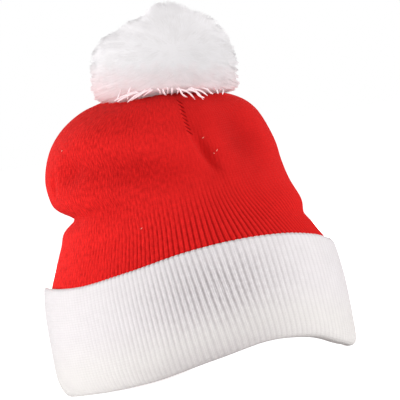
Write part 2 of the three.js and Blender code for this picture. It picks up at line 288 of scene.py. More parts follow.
PLEAT = np.array([
    # height, angle of its edge, depth
    (130, 57, 0),
    (141, 68.4, 1.5),
    (151, 73.7, 2.5),
    (161, 76.8, 2.3),
    (171, 77.7, 2),
    (184, 77.4, 1.7),
    (193, 74.6, 1.5),
    (198, 72, 1),
], float)
PLEAT_HEIGHTS, PLEAT_ANGLES, PLEAT_DEPTHS = PLEAT.T
PLEAT_STEP = 2.6
PLEAT_SPREAD = 14


def pleat_at(height, column):
    """A column of the pleat's table, at a height."""
    row = np.interp(height, PLEAT_HEIGHTS, np.arange(len(PLEAT)))
    return up_the_column(column, row)


def pleat_depth(degrees, height):
    """The sewn pleat: the wall turns in steeply at its left edge and comes out again gently."""
    past = pleat_at(height, PLEAT_ANGLES) - (np.mod(degrees + 90, 360) - 90)
    beyond = np.maximum(past - PLEAT_STEP, 0)
    return pleat_at(height, PLEAT_DEPTHS) * ease(past, 0, PLEAT_STEP) * bell(beyond, 0, PLEAT_SPREAD)


def fold_depth(degrees, height):
    """How far the folds and the pleat together push the wall in."""
    depth = np.zeros(np.broadcast(degrees, height).shape)
    for angle, middle, across, along, deep, climb in CROWN_FOLDS:
        off = np.mod(degrees - angle + 180, 360) - 180
        rise = height - middle - climb * off
        depth += deep * np.exp(-((off / across) ** 2) - np.abs(rise / along) ** FOLD_SHARPNESS)
    return depth + pleat_depth(degrees, height)


print("folds:", len(CROWN_FOLDS), "crease:", fold_depth(np.array(184.0), np.array(121.5)).round(1), "mm")

# %% [markdown]
# ## Sections of the crown
# The bag could be pulled into shape from a cylinder. Measured sections are easier to set against a
# picture: each has four reaches from the axis, to the left, right, front and back, and own heights at its
# left and right, because the top hangs to the right. The top is drawn together into gathers under the
# pompom, and the cuff carries the lower edge up where it rides up.

# %% Sections of the crown
CROWN_SECTIONS = np.array([
    # left_z, right_z, left, right, front, back
    (13, 13, 100.4, 100.4, 79.4, 79.4),
    (48, 48, 100.6, 100.4, 79.6, 79.6),
    (72, 72, 98.8, 98.3, 77.8, 78),
    (86, 86, 93.8, 91.6, 75.5, 76),
    (98, 98, 88.6, 87.3, 73.5, 74.5),
    (108, 108, 85, 85.1, 72.5, 74),
    (122, 122, 85.4, 79.9, 72, 74),
    (136, 136, 88, 77, 72.5, 74),
    (150, 150, 89.1, 75.4, 72, 73),
    (164, 164, 85.8, 71.2, 70, 70.5),
    (176, 176, 79.1, 65.2, 65, 65),
    (187, 185, 67.7, 55.6, 57, 57),
    (195.5, 192, 51.5, 40, 43, 43),
    (200, 197, 29, 21, 24, 24),
    (201.5, 200, 9, 5, 7, 7),
], float)
CROWN_TOP = len(CROWN_SECTIONS) - 1
GATHER_COUNT = 15
GATHER_RELIEF = 1.6
GATHER_RADIUS = 34
GATHER_FULL, GATHER_END = 0.4 * GATHER_RADIUS, 1.6 * GATHER_RADIUS
CUFF_HEIGHT = 78
CARRIED_TO, FREE_FROM = 0.75 * CUFF_HEIGHT, 1.6 * CUFF_HEIGHT
NORMAL_STEP = 0.01


def crown_point(degrees, position):
    """Points of the crown's smooth outer side, for arrays of angles and table positions."""
    left_z, right_z, left, right, front, back = (
        up_the_column(column, position) for column in CROWN_SECTIONS.T
    )
    angle = np.radians(degrees)
    across, deep = np.cos(angle), np.sin(angle)
    x = across * np.where(across > 0, right, left)
    y = -deep * np.where(deep > 0, front, back)
    height = (left_z + right_z) / 2 + across * (right_z - left_z) / 2
    radius = np.hypot(x, y)
    inward = 1 - fold_depth(degrees, height) / np.maximum(radius, GATHER_RADIUS)
    gather = 1 - ease(radius, GATHER_FULL, GATHER_END)
    gather = np.where(position > CROWN_TOP / 2, gather, 0)
    height = height - GATHER_RELIEF * (0.5 + 0.5 * np.cos(GATHER_COUNT * angle)) * gather
    height = height + fold_lift(degrees) * (1 - ease(height, CARRIED_TO, FREE_FROM))
    return np.stack(np.broadcast_arrays(x * inward, y * inward, height), -1)


def unit(vectors):
    return vectors / np.linalg.norm(vectors, axis=-1, keepdims=True)


def crown_normal(degrees, position):
    """The way the crown's smooth outer side faces."""
    along = crown_point(degrees, position + NORMAL_STEP) - crown_point(degrees, position - NORMAL_STEP)
    turn = math.degrees(NORMAL_STEP)
    sideways = crown_point(degrees + turn, position) - crown_point(degrees - turn, position)
    return unit(np.cross(along, sideways))


front_edge = crown_point(np.array(90.0), np.array(8.0))
print("front of the crown at mid height:", front_edge.round(1), "mm")

# %% [markdown]
# ## Ribs
# Rib knit is columns of stitches, two proud and then a sunken gap that shows as a dark line. Each rib
# gets six columns of points: the gap, a shoulder, the first column of stitches, the fine line between
# the two, the second column and a shoulder. Real points are used, not only a bump, because the ribs
# notch the cuff's top edge and catch the light from the side. The knit is stretched at the front right
# and slack at the left, so the ribs crowd there.

# %% Ribs
RIB_COUNT = 160
POINTS_PER_RIB = 6
COLUMNS = RIB_COUNT * POINTS_PER_RIB
CROWN_RIB = np.array([0.0, 0.5, 1.0, 0.75, 1.0, 0.5])
CUFF_RIB = np.array([0.0, 0.3, 1.0, 0.6, 1.0, 0.3])
RIB_CROWDING = np.array([
    # angle, how crowded the ribs are there
    (0, 1.0),
    (85, 1.0),
    (112, 1.35),
    (180, 1.35),
    (270, 1.0),
    (360, 1.0),
])
FINE_ANGLES = np.linspace(0, 360, 3601)


def crowded_angles():
    """Angles of the columns of points, closer together where the ribs crowd."""
    passed = np.cumsum(np.interp(FINE_ANGLES, *RIB_CROWDING.T))
    share = (passed - passed[0]) / (passed[-1] - passed[0])
    return np.interp(np.arange(COLUMNS) / COLUMNS, share, FINE_ANGLES)


column_degrees = crowded_angles()
crown_relief = np.tile(CROWN_RIB, RIB_COUNT)
cuff_relief = np.tile(CUFF_RIB, RIB_COUNT)
print("columns of points round the hat:", COLUMNS)

# %% [markdown]
# ## A skin from rings
# Crown and cuff are both made of rings of points, one above the other. Unwrapping the finished mesh would
# give it coordinates, but not in step with the knit. A grid of faces gives stitch coordinates for nothing:
# u counts columns of stitches, v counts rows. Numbers that the finish needs, such as the painted shade of
# gaps and folds, are stored on the points as traits.

# %% A skin from rings
MM = 0.001
WALES_PER_RIB = 2
WALES_PER_POINT = WALES_PER_RIB / POINTS_PER_RIB


def mesh_in_mm(name, points, faces):
    """A mesh from points that are given in millimetres."""
    mesh = bpy.data.meshes.new(name)
    mesh.from_pydata((points.reshape(-1, 3) * MM).tolist(), [], faces)
    return mesh


def set_trait(mesh, name, values):
    """Stores a number on every point, for the finish to read."""
    mesh.attributes.new(name, "FLOAT", "POINT").data.foreach_set("value", values.ravel())


def link_piece(name, mesh, material):
    """Shades a mesh smoothly, gives it its finish and hangs it on the frame of the solids."""
    mesh.polygons.foreach_set("use_smooth", np.ones(len(mesh.polygons), bool))
    mesh.materials.append(material)
    piece = bpy.data.objects.new(name, mesh)
    scene.collection.objects.link(piece)
    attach(piece, "root")
    return piece


def ring_skin(name, rings, courses, traits, closed, material):
    """A closed skin through rings of points. Rings run so that the outside faces out."""
    count = len(rings)
    strips = count if closed else count - 1
    row = np.repeat(np.arange(strips), COLUMNS)
    column = np.tile(np.arange(COLUMNS), strips)
    next_row = (row + 1) % count
    next_column = (column + 1) % COLUMNS
    faces = np.stack([
        row * COLUMNS + column,
        next_row * COLUMNS + column,
        next_row * COLUMNS + next_column,
        row * COLUMNS + next_column,
    ], -1).tolist()
    if not closed:
        first, last = range(COLUMNS), range((count - 1) * COLUMNS, count * COLUMNS)
        faces += [list(first), list(reversed(last))]
    mesh = mesh_in_mm(name, rings, faces)
    u = np.stack([column, column, column + 1, column + 1], -1) * WALES_PER_POINT
    v = np.stack([courses[row], courses[next_row], courses[next_row], courses[row]], -1)
    uv = np.zeros((len(mesh.loops), 2))
    uv[: u.size] = np.stack([u.ravel(), v.ravel()], -1)
    mesh.uv_layers.new(name="stitches").data.foreach_set("uv", uv.ravel())
    for trait_name, values in traits.items():
        set_trait(mesh, trait_name, values)
    piece = link_piece(name, mesh, material)
    print(name, "points:", len(mesh.vertices), "faces:", len(mesh.polygons))
    return piece


print("columns of stitches round the hat:", WALES_PER_RIB * RIB_COUNT)

# %% [markdown]
# ## Helpers for finishes
# A finish is a small network of nodes: some make patterns, some scale and add them, and the last one
# shades. They could be drawn by hand in the shader editor. In a script a few helpers, each of which adds
# one node and joins its inputs, keep a network as short as a formula.

# %% Helpers for finishes


def add_node(tree, kind, inputs, **settings):
    node = tree.nodes.new(kind)
    for key, value in settings.items():
        setattr(node, key, value)
    for key, value in inputs.items():
        if isinstance(value, bpy.types.NodeSocket):
            tree.links.new(value, node.inputs[key])
        else:
            node.inputs[key].default_value = value
    return node


def maths(tree, operation, first, second=0.0):
    return add_node(tree, "ShaderNodeMath", {0: first, 1: second}, operation=operation).outputs[0]


def add_scaled(tree, value, factor, offset):
    """value times factor, plus offset."""
    node = add_node(tree, "ShaderNodeMath", {0: value, 1: factor, 2: offset}, operation="MULTIPLY_ADD")
    return node.outputs[0]


def mix_colour(tree, share, low, high, blend="MIX"):
    """low where share is 0, high where it is 1. A mix node's colours are inputs 6 and 7 and output 2."""
    inputs = {0: share, 6: low, 7: high}
    return add_node(tree, "ShaderNodeMix", inputs, data_type="RGBA", blend_type=blend).outputs[2]


def noise(tree, vector, scale, detail=2.0):
    inputs = {"Vector": vector, "Scale": scale, "Detail": detail}
    return add_node(tree, "ShaderNodeTexNoise", inputs).outputs[0]


def trait(tree, name):
    """A number that is stored on the points of the mesh; 0 where a mesh doesn't have it."""
    return add_node(tree, "ShaderNodeAttribute", {}, attribute_name=name).outputs["Fac"]


def object_place(tree):
    return add_node(tree, "ShaderNodeTexCoord", {}).outputs["Object"]


print("helpers:", [helper.__name__ for helper in (maths, add_scaled, mix_colour, noise, trait)])

# %% [markdown]
# ## Stitch pattern
# Up close a knitted column is a chain of small V stitches. Modelling each loop would take millions of
# faces, so the V is drawn by a formula from the stitch coordinates: two legs to a column, each row of
# them slanted down to the middle. The finish uses it as a bump and for light and shade.

# %% Stitch pattern
LEG_SLANT = 1.3
ROW_DEPTH = 0.35


def stitch_height(tree, uv):
    """How proud the yarn stands, 0 to 1, drawn from the stitch coordinates."""
    parts = add_node(tree, "ShaderNodeSeparateXYZ", {0: uv})
    wale, course = parts.outputs[0], parts.outputs[1]
    leg = maths(tree, "FRACT", maths(tree, "MULTIPLY", wale, 2.0))
    roundness = maths(tree, "SINE", maths(tree, "MULTIPLY", leg, math.pi))
    from_middle = maths(tree, "ABSOLUTE", maths(tree, "SUBTRACT", maths(tree, "FRACT", wale), 0.5))
    slanted = maths(tree, "SUBTRACT", course, maths(tree, "MULTIPLY", from_middle, LEG_SLANT))
    row = maths(tree, "COSINE", maths(tree, "MULTIPLY", slanted, 2 * math.pi))
    return maths(tree, "MULTIPLY", roundness, add_scaled(tree, row, ROW_DEPTH, 1 - ROW_DEPTH))


print("a leg of a stitch climbs", LEG_SLANT / 2, "rows")

# %% [markdown]
# ## Knit yarn finish
# The yarn is matt acrylic, and no two rows of it are quite alike. A picture of knitwear could be laid over
# the hat, but it would repeat itself and bring its own light. So noise is drawn out along the columns,
# which makes short upright dashes where the knit is slack. A painted shade of a deeper colour darkens the
# gaps between ribs and the folds, and a sheen gives the pale edge of fuzzy yarn.

# %% Knit yarn finish
DASH_RATE = (1.3, 0.45, 1.0)
FUZZ_RATE, CLOUD_RATE, CLOUD_DETAIL = 1400.0, 90.0, 3.0
YARN_LIGHT, STITCH_LIGHT, SHADE_DARKNESS, CLOUD_LIGHT = 0.7, 0.12, -0.6, 0.16
STITCH_BUMP, FUZZ_BUMP = 0.4, 0.4
KNIT_BUMP = {"Strength": 0.6, "Distance": 0.0007}
KNIT_SHADING = {
    "Roughness": 0.8,
    "Specular IOR Level": 0.05,
    "Sheen Weight": 0.11,
    "Sheen Roughness": 0.35,
}
# the second red and the grey are the colours of painted shade in gaps and folds
RED, PAINTED_SHADE_RED, RED_SHEEN = (0.90, 0.022, 0.020, 1), (0.30, 0.001, 0.002, 1), (1.0, 0.32, 0.29, 1)
WHITE, WARM_WHITE, PAINTED_SHADE_GREY = (0.95, 0.915, 0.925, 1), (0.95, 0.925, 0.895, 1), (0.50, 0.45, 0.465, 1)
RED_GRAIN, WHITE_GRAIN = 1.5, 0.7


def knit_material(name, yarn, warm_yarn, deep, sheen_tint, grain):
    """yarn, warmer in places, is the proud knit; deep, the painted shade in gaps and folds; grain,
    unevenness.
    """
    material, tree, shader = new_material(name, {**KNIT_SHADING, "Sheen Tint": sheen_tint})
    place = object_place(tree)
    uv = add_node(tree, "ShaderNodeUVMap", {}, uv_map="stitches").outputs[0]
    drawn_out = add_node(tree, "ShaderNodeVectorMath", {0: uv, 1: DASH_RATE}, operation="MULTIPLY")
    dash = maths(tree, "SUBTRACT", noise(tree, drawn_out.outputs[0], 1.0), 0.5)
    cloud = maths(tree, "SUBTRACT", noise(tree, place, CLOUD_RATE, CLOUD_DETAIL), 0.5)
    fuzz = noise(tree, place, FUZZ_RATE)
    stitch = stitch_height(tree, uv)
    uneven = maths(tree, "MULTIPLY", dash, trait(tree, "crumpled"))
    lit = add_scaled(tree, stitch, STITCH_LIGHT, YARN_LIGHT)
    # painted shade in rib gaps and folds, painted light low on the crown, a painted shadow on the cuff's
    # fold
    lit = add_scaled(tree, trait(tree, "painted_shade"), SHADE_DARKNESS, lit)
    lit = add_scaled(tree, uneven, grain, lit)
    lit = add_scaled(tree, cloud, CLOUD_LIGHT, lit)
    proud_yarn = mix_colour(tree, trait(tree, "warm"), yarn, warm_yarn)
    relief = add_scaled(tree, uneven, grain, maths(tree, "MULTIPLY", fuzz, FUZZ_BUMP))
    relief = add_scaled(tree, stitch, STITCH_BUMP, relief)
    bumped = add_node(tree, "ShaderNodeBump", {"Height": relief, **KNIT_BUMP})
    tree.links.new(mix_colour(tree, lit, deep, proud_yarn), shader.inputs["Base Color"])
    tree.links.new(bumped.outputs[0], shader.inputs["Normal"])
    return material


red_knit = knit_material("red_knit", RED, RED, PAINTED_SHADE_RED, RED_SHEEN, RED_GRAIN)
white_knit = knit_material("white_knit", WHITE, WARM_WHITE, PAINTED_SHADE_GREY, PURE_WHITE, WHITE_GRAIN)
print("finishes:", red_knit.name, white_knit.name)

# %% [markdown]
# ## Shades of the crown
# Three things change how light the red is, and all three are painted light and shade. Painted shade
# darkens the gaps between ribs, and the folds, which hold a little shade that soft lamps alone don't give,
# and painted light makes the lower crown paler than the top. They are worked out point by point and stored
# as traits. Painting them by hand would do as well, but could not follow a changed fold.

# %% Shades of the crown
GAP_SHADE = 1.05
FOLD_SHADE, DARKEST_FOLD = 22, 0.6
PAINTED_LOW_LIGHT, LOW_LIGHT_BELOW, LOW_LIGHT_GONE_ABOVE = 0.16, 98, 138
CREASE_LIGHT, CREASE_ANGLE, CREASE_ACROSS = 0.6, 186, 28
SLACK_ANGLE, SLACK_ACROSS, CROWN_LEAST_CRUMPLED = 140, 55, 0.06
RIBS_FULL, RIBS_GONE = 84, 134
FEW_RIBS_ANGLE, FEW_RIBS_ACROSS, FEW_RIBS_LOSS = 155, 50, 0.85


def rib_share(degrees, height):
    """How much of the rib relief is left at a height: all at the cuff, none on the slack crown."""
    lift = fold_lift(degrees)
    fading = 1 - ease(height, RIBS_FULL + lift, RIBS_GONE + 0.5 * lift)
    return fading * (1 - FEW_RIBS_LOSS * bell(np.mod(degrees, 360), FEW_RIBS_ANGLE, FEW_RIBS_ACROSS))


def crown_traits(degrees, height):
    """What the finish has to know at each point of the outer side."""
    # painted shade in the rib gaps and folds, and painted light that makes the crown paler below than above
    gaps = GAP_SHADE * rib_share(degrees, height) * (1 - crown_relief)
    folded = np.clip(fold_depth(degrees, height) / FOLD_SHADE, 0, DARKEST_FOLD)
    folded = folded * (1 - CREASE_LIGHT * bell(degrees, CREASE_ANGLE, CREASE_ACROSS))
    paler = PAINTED_LOW_LIGHT * (1 - ease(height, LOW_LIGHT_BELOW, LOW_LIGHT_GONE_ABOVE))
    slack = bell(degrees, SLACK_ANGLE, SLACK_ACROSS)
    return {
        "painted_shade": gaps + folded - paler,
        "crumpled": CROWN_LEAST_CRUMPLED + (1 - CROWN_LEAST_CRUMPLED) * slack,
    }


print("ribs left at the front, 110 mm up:", rib_share(np.array(90.0), np.array(110.0)).round(2))

# %% [markdown]
# ## Crown
# The ribs are deep just above the cuff, where the knit is stretched, and die out as it slackens; the left
# side shows less of them. Above, only the fine columns of stitches are left. The hat is hollow and can be
# looked into from below. A solidify modifier would give it an inner wall, but with every rib of the outer
# one, so a plain inner wall with fewer rows follows it at the thickness of the knit.

# %% Crown
KNIT_WALL = 2.5
COURSE_HEIGHT = 1.75
CROWN_RIB_RELIEF = 1.15
WALE_RELIEF = 0.22
RIB_LEVEL = 0.6
RIB_DRIFT, DRIFT_FROM, DRIFT_TO = 8.6, 2.6, 6.4
OUTER_POSITIONS = np.concatenate([
    [0, 0.6, 1.2, 1.8],
    np.linspace(2.2, 12, 68),
    [12.4, 12.8, 13.2, 13.6, 14],
])
INNER_POSITIONS = np.array([
    14, 13.2, 12.4, 11.6, 10.8, 10.2, 9.8, 9.4, 9.1, 8.8, 8.5, 8.2,
    7.9, 7.6, 7.3, 7.0, 6.6, 6.3, 5.97, 5.6, 5.2, 4.2, 2.2, 0,
])


def drifted(degrees, position):
    """Ribs on the front right lean over to the pleat as they climb."""
    angle = np.radians(degrees)
    lean = np.where(degrees < 90, np.sin(2 * angle) * np.cos(angle), 0)
    return degrees + RIB_DRIFT * lean * ease(position, DRIFT_FROM, DRIFT_TO)


def crown_rings():
    """Rings down the inner side and then up the outer side, with the traits of their points."""
    outer, inner = OUTER_POSITIONS[:, None], INNER_POSITIONS[:, None]
    degrees = drifted(column_degrees, outer)
    base = crown_point(degrees, outer)
    share = rib_share(degrees, base[..., 2])
    relief = share * CROWN_RIB_RELIEF + (1 - share) * WALE_RELIEF
    proud = relief * (crown_relief - RIB_LEVEL)
    outside = base + crown_normal(degrees, outer) * proud[..., None]
    inside = crown_point(column_degrees, inner) - KNIT_WALL * crown_normal(column_degrees, inner)
    plain = np.zeros(inside.shape[:2])
    traits = crown_traits(degrees, base[..., 2])
    traits = {name: np.concatenate([plain, values]) for name, values in traits.items()}
    return np.concatenate([inside, outside]), traits


def courses_along(rings):
    """Counts rows of stitches up the front of a stack of rings."""
    front = rings[:, COLUMNS // 4]
    steps = np.linalg.norm(np.diff(front, axis=0), axis=1)
    return np.concatenate([[0], np.cumsum(steps)]) / COURSE_HEIGHT


rings, traits = crown_rings()
crown = ring_skin("crown_knit", rings, courses_along(rings), traits, False, red_knit)
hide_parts("crown")

# %% [markdown]
# ## Section of the cuff
# The turn-up is one strip whose section is a J: a short lip inside that the crown is knitted on to, the
# fold the hat stands on, and the tall outer wall. A cloth simulation could fold a flat strip, but would
# not stop at the height that was measured, so the section is drawn as it lies. The outside gets extra
# rows between the measured ones, because it is seen; the inside keeps its few.

# %% Section of the cuff
PIECE_GAP = 0.35
LIP_TOP = CROWN_SECTIONS[0, 0] - PIECE_GAP
CUFF_OUTSIDE = np.array([
    # inset from the widest outline at the left and at the right, height, share of the rib relief
    (7.2, 3.6, 0, 0.3),
    (5.8, 2.1, 0.9, 0.6),
    (4.2, 1.0, 2.6, 1),
    (2.4, 0.3, 6, 1),
    (1.0, 0, 11, 1),
    (0.2, 0, 17, 1),
    (0, 0, 28, 1),
    (0, 0.4, 48, 1),
    (0.5, 1.4, 61, 1),
    (1.4, 2.3, 69, 1),
    (2.1, 3.1, 74.5, 1),
    (2.8, 3.8, 77, 1),
    (4.0, 5.0, 78, 0.6),
])
CUFF_INSIDE = np.array([
    (5.6, 6.2, 77.4, 0.2),
    (6.8, 6.8, 75.6, 0),
    (6.2, 6.2, 71.0, 0),
    (4.2, 4.2, 62.0, 0),
    (3.3, 3.3, 40.0, 0),
    (3.2, 3.2, 20.0, 0),
    (3.8, 3.6, 9.0, 0),
    (4.7, 4.4, 4.8, 0),
    (5.4, 5.4, 4.8, 0),
    (5.6, 5.6, LIP_TOP - 1, 0),
    (5.9, 5.9, LIP_TOP, 0),
    (7.8, 7.8, LIP_TOP, 0),
    (8.1, 8.1, LIP_TOP - 1, 0),
    (8.1, 8.1, 3.0, 0),
    (8.0, 7.7, 1.0, 0),
    (7.7, 6.6, 0.1, 0),
])
CUFF_ROWS_BETWEEN = 4


def cuff_profile():
    steps = np.arange((len(CUFF_OUTSIDE) - 1) * CUFF_ROWS_BETWEEN + 1) / CUFF_ROWS_BETWEEN
    fine = np.stack([up_the_column(column, steps) for column in CUFF_OUTSIDE.T], -1)
    return np.concatenate([fine, CUFF_INSIDE])


print("rows of the cuff's section:", len(cuff_profile()))

# %% [markdown]
# ## Cuff
# One rib repeated by an array modifier would be too even. The cuff's ribs lean, so each ring is turned a
# little against the one below. The middle of the front is stretched, so its ribs are deeper there and the
# wall is drawn in a little; with the painted shade in the deeper rib gaps, that makes the grey band in the
# middle of the white. The left end bulges and is nearly smooth. Towards the fold the white is a little
# warmer, and in front a painted shadow lies on the fold.

# %% Cuff
CUFF_WIDTH = 212
CUFF_DEPTH = 170
CUFF_RIB_RELIEF = 1.0
CUFF_LEAN, CUFF_LEAN_FRONT, LEAN_ACROSS = 2.8, 4.0, 18
STRETCH_ANGLE, STRETCH_ACROSS = 79.5, 27
STRETCH_HEIGHT, STRETCH_ALONG = 48, 28
STRETCH_DENT = 2.5
SLACK_RELIEF = 0.21
LEFT_BULGE, LEFT_BULGE_ACROSS, LEFT_BULGE_LOSS = 165, 25, 0.8
EDGE_NOTCH, NOTCH_HEIGHT = 0.9, 3
FOLD_SHADOW, FOLD_SHADOW_ANGLE, FOLD_SHADOW_ACROSS, FOLD_SHADOW_TOP = 0.45, 89, 29, 22
WARM_BELOW, WHITE_ABOVE = 10, 46
CUFF_LEAST_CRUMPLED = 0.15


def cuff_traits(degrees, height, gaps, stretch):
    """What the finish has to know at each point of the cuff."""
    # painted shade in the rib gaps, and a painted shadow on the front of the fold
    under = bell(degrees, FOLD_SHADOW_ANGLE, FOLD_SHADOW_ACROSS) * (1 - ease(height, 0, FOLD_SHADOW_TOP))
    return {
        "painted_shade": gaps + FOLD_SHADOW * under,
        "crumpled": CUFF_LEAST_CRUMPLED + (1 - CUFF_LEAST_CRUMPLED) * stretch,
        "warm": (1 - ease(height, WARM_BELOW, WHITE_ABOVE)) * np.ones_like(gaps),
    }


def cuff_rings():
    """Rings up the outer side and down the inner side, with the traits of their points."""
    left, right, height, ribs = (column[:, None] for column in cuff_profile().T)
    outside = (np.arange(len(height)) < len(height) - len(CUFF_INSIDE))[:, None]
    degrees = column_degrees
    fold, edge = fold_lift(degrees), edge_lift(degrees)
    lift = fold + (edge - fold) * ease(height, LIP_TOP, CUFF_HEIGHT)
    stretch = bell(degrees, STRETCH_ANGLE, STRETCH_ACROSS) * bell(height, STRETCH_HEIGHT, STRETCH_ALONG)
    relief = SLACK_RELIEF + (1 - SLACK_RELIEF) * stretch
    relief = relief * (1 - LEFT_BULGE_LOSS * bell(degrees, LEFT_BULGE, LEFT_BULGE_ACROSS))
    gaps = ribs * (1 - cuff_relief) * relief
    inset = (left + right) / 2 + np.cos(np.radians(degrees)) * (right - left) / 2
    inward = inset + CUFF_RIB_RELIEF * gaps + STRETCH_DENT * stretch * outside
    lean = CUFF_LEAN + CUFF_LEAN_FRONT * bell(degrees, STRETCH_ANGLE, LEAN_ACROSS)
    angle = np.radians(degrees + lean * (height / CUFF_HEIGHT - 0.5) * outside)
    near_edge = ease(height, CUFF_HEIGHT - NOTCH_HEIGHT, CUFF_HEIGHT) * outside
    notch = EDGE_NOTCH * (1 - cuff_relief) * near_edge
    x = (CUFF_WIDTH / 2 - inward) * np.cos(angle)
    y = -(CUFF_DEPTH / 2 - inward) * np.sin(angle)
    points = np.stack(np.broadcast_arrays(x, y, height + lift - notch), -1)
    return points, cuff_traits(degrees, height, gaps, stretch)


rings, traits = cuff_rings()
cuff = ring_skin("cuff_knit", rings, courses_along(rings), traits, True, white_knit)
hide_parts("cuff")

# %% [markdown]
# ## Strands
# Cut yarn, loose ends and sewing thread are all thin strands along a path. Blender's hair would draw
# them, but it isn't kept when a model leaves Blender, and a curve with a bevel gives many objects. So a
# helper turns a whole stack of paths into one mesh of slim closed tubes, three-sided where they are finest.

# %% Strands


def tube_faces(count, steps, sides):
    """Walls and caps of tubes whose points are counted strand by strand, ring by ring."""
    strand, step, side = np.meshgrid(np.arange(count), np.arange(steps - 1), np.arange(sides), indexing="ij")

    def corner(ring, place):
        return (strand * steps + ring) * sides + place % sides

    walls = np.stack([
        corner(step, side), corner(step, side + 1), corner(step + 1, side + 1), corner(step + 1, side),
    ], -1).reshape(-1, 4)
    rim = np.arange(sides)
    roots = (np.arange(count) * steps * sides)[:, None] + rim[::-1]
    tips = ((np.arange(count) * steps + steps - 1) * sides)[:, None] + rim
    return walls.tolist() + roots.tolist() + tips.tolist()


def strand_mesh(name, paths, radii, sides, material, random, normals=None, shaded=None):
    """One mesh of closed tubes. paths is strands x steps x 3 in mm, radii is strands x steps in mm.

    With normals, one for each strand, a corner of every tube points inward, so a three-sided one turns a
    flat side outward, and it is shaded as if it faced along its normal. shaded is a trait of the finish.
    """
    count, steps, _ = paths.shape
    tangents = unit(np.gradient(paths, axis=1))
    reference = unit(random.normal(size=(count, 1, 3))) if normals is None else -normals[:, None, :]
    across = unit(reference - (reference * tangents).sum(-1, keepdims=True) * tangents)
    other = np.cross(tangents, across)
    around = 2 * np.pi * np.arange(sides)[:, None] / sides
    spokes = np.cos(around) * across[:, :, None, :] + np.sin(around) * other[:, :, None, :]
    points = paths[:, :, None, :] + radii[:, :, None, None] * spokes
    mesh = mesh_in_mm(name, points, tube_faces(count, steps, sides))
    piece = link_piece(name, mesh, material)
    if normals is not None:
        mesh.normals_split_custom_set_from_vertices(np.repeat(normals, steps * sides, axis=0).tolist())
    if shaded is not None:
        set_trait(mesh, "shaded", np.repeat(shaded.ravel(), sides))
    print(name, "strands:", count, "faces:", len(mesh.polygons))
    return piece


print("faces of one fibre with three sides and two rings:", len(tube_faces(1, 2, 3)))

# %% [markdown]
# ## Streaks of the fluff
# The pompom's fluff is parted at one place on its front, and lighter and darker streaks run out from there.
# Combing hair curves would give them, at the cost of much handwork. A few waves round that place do as
# well, and the same formula then both wrinkles the outline and gives the fibres a painted shade.

# %% Streaks of the fluff
COMBED_FROM = np.array([0.2, -0.93, 0.3])
PARTINGS = [
    # waves round the place that the fluff is combed from, where they start
    (17, 0.4),
    (29, 1.9),
    (43, 4.1),
    (67, 2.6),
]
PARTING_TWIST = 4


def streaks(directions):
    """Streaks of fluff, -1 to 1, that run out from the place where it is combed apart."""
    middle = unit(COMBED_FROM)
    sideways = unit(np.cross(middle, [0, 0, 1]))
    upward = np.cross(sideways, middle)
    turn = np.arctan2(directions @ upward, directions @ sideways)
    near = np.clip(directions @ middle, -1, 1)
    waves = sum(np.cos(count * turn + start + PARTING_TWIST * near) for count, start in PARTINGS)
    return waves / len(PARTINGS) * np.sqrt(1 - near ** 2)


print("streak at the front left:", streaks(np.array([-0.6, -0.8, 0.0])).round(2))

# %% [markdown]
# ## Outline of the pompom
# A pompom is a bundle of yarn tied in the middle and cut round, so every end points away from the centre.
# It is domed above and pressed flat against the crown below, leans to the right, and is combed down at
# its upper left. A sculpted ball would look right, but could not be asked how far it reaches. Here one
# formula gives the outline in any direction, and everything in the pompom follows it.

# %% Outline of the pompom
TINY = 1e-9                             # keeps a division away from zero
POMPOM_CENTRE = np.array([6.7, -1, 214])
POMPOM_WIDTH = 101
POMPOM_RISE = 45.5
POMPOM_SAG = 22
POMPOM_SAG_POWER, POMPOM_LEFT_POWER = 9, 5.5
POMPOM_PRESS, PRESS_POWER = 0.18, 4
POMPOM_LEAN = math.radians(4.5)
POMPOM_DIPS = [
    # direction, spread, depth as a share of the reach
    ((-0.3, 0, 0.954), 0.17, 0.14),
    ((-0.6, 0, 0.8), 0.3, 0.14),
    ((0.47, 0, 0.88), 0.12, 0.05),
]
DIP_STRETCH = np.array([1, 0.4, 1])     # dips run on from front to back, so that the outline shows them
PARTING_DEPTH = 0.004
DOME_TOP = 202
DOME_CURVE = 0.0043
DOME_SLOPE = 0.043


def crown_dome(x, y):
    """Height of the crown's top under the pompom, close enough to keep yarn above it."""
    return DOME_TOP - DOME_CURVE * (x * x + y * y) - DOME_SLOPE * x


def pompom_point(directions, share):
    """Points in given directions from the pompom's centre, at shares of the way to its outline."""
    z = directions[..., 2]
    flat = np.linalg.norm(directions[..., :2], axis=-1, keepdims=True)
    side = directions[..., :2] / np.maximum(flat, TINY)
    to_left = np.maximum(-side[..., 0], 0) ** 2
    sag_power = POMPOM_SAG_POWER + (POMPOM_LEFT_POWER - POMPOM_SAG_POWER) * to_left
    power = np.where(z > 0, 2, sag_power)
    across = (1 - np.minimum(1, np.abs(z)) ** power) ** (1 / power) * POMPOM_WIDTH / 2
    reach = share * (1 + PARTING_DEPTH * streaks(directions))
    for middle, spread, depth in POMPOM_DIPS:
        away = np.linalg.norm((directions - middle) * DIP_STRETCH, axis=-1)
        reach = reach * (1 - depth * bell(away, 0, spread))
    front = np.maximum(-side[..., 1], 0)
    sag = POMPOM_SAG * (1 - POMPOM_PRESS * front ** PRESS_POWER)
    x, y = side[..., 0] * across * reach, side[..., 1] * across * reach
    z = z * np.where(z > 0, POMPOM_RISE, sag) * reach
    leaned_x = x * math.cos(POMPOM_LEAN) + z * math.sin(POMPOM_LEAN)
    leaned_z = z * math.cos(POMPOM_LEAN) - x * math.sin(POMPOM_LEAN)
    points = np.stack([leaned_x, y, leaned_z], -1) + POMPOM_CENTRE
    points[..., 2] = np.maximum(points[..., 2], crown_dome(points[..., 0], points[..., 1]))
    return points


print("top of the pompom:", pompom_point(np.array([0.0, 0.0, 1.0]), 1).round(1), "mm")

